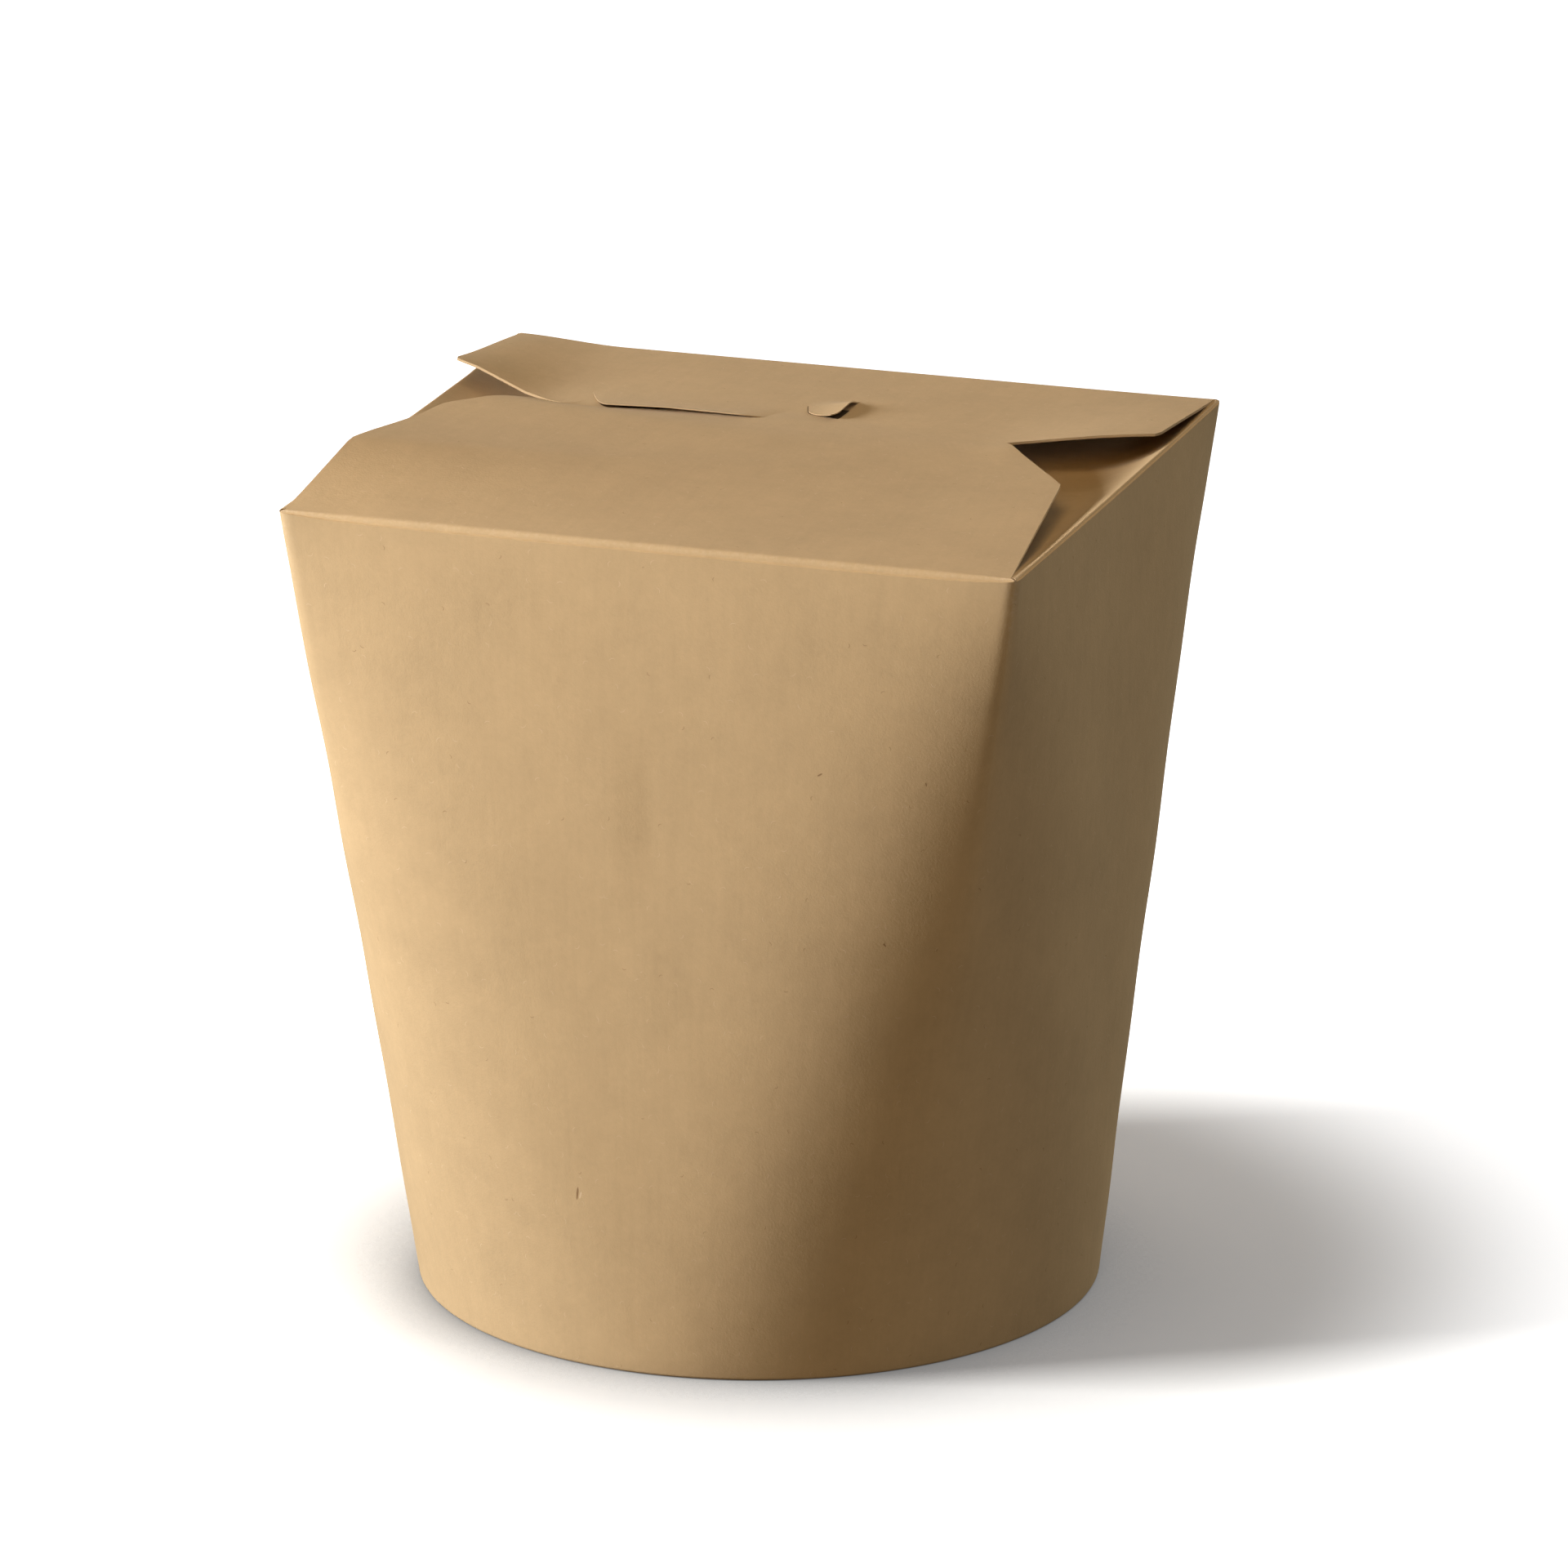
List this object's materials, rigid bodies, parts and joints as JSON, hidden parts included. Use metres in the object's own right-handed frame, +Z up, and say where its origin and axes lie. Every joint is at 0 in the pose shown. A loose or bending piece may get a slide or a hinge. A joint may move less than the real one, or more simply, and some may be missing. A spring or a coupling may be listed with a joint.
{
  "type": "noodle takeaway box",
  "caption": "Shut kraft board takeaway box with a round base, walls that turn rectangular towards the top, and folded flaps that lock over each other.",
  "frame": {"origin": "centre of the round base ring, on the surface that the box stands on", "axes": "+Z up, -Y towards the front panel, +X to the right of the front panel"},
  "size_m": [0.0964, 0.0902, 0.1135],
  "materials": {
    "kraft_board": "uncoated brown kraft board with fine fibres, lighter cut edges and worn folds",
    "base_board": "uncoated brown kraft board"
  },
  "bodies": {
    "root": {"carton": "kraft_board", "base_board": "base_board"}
  },
  "joints": []
}
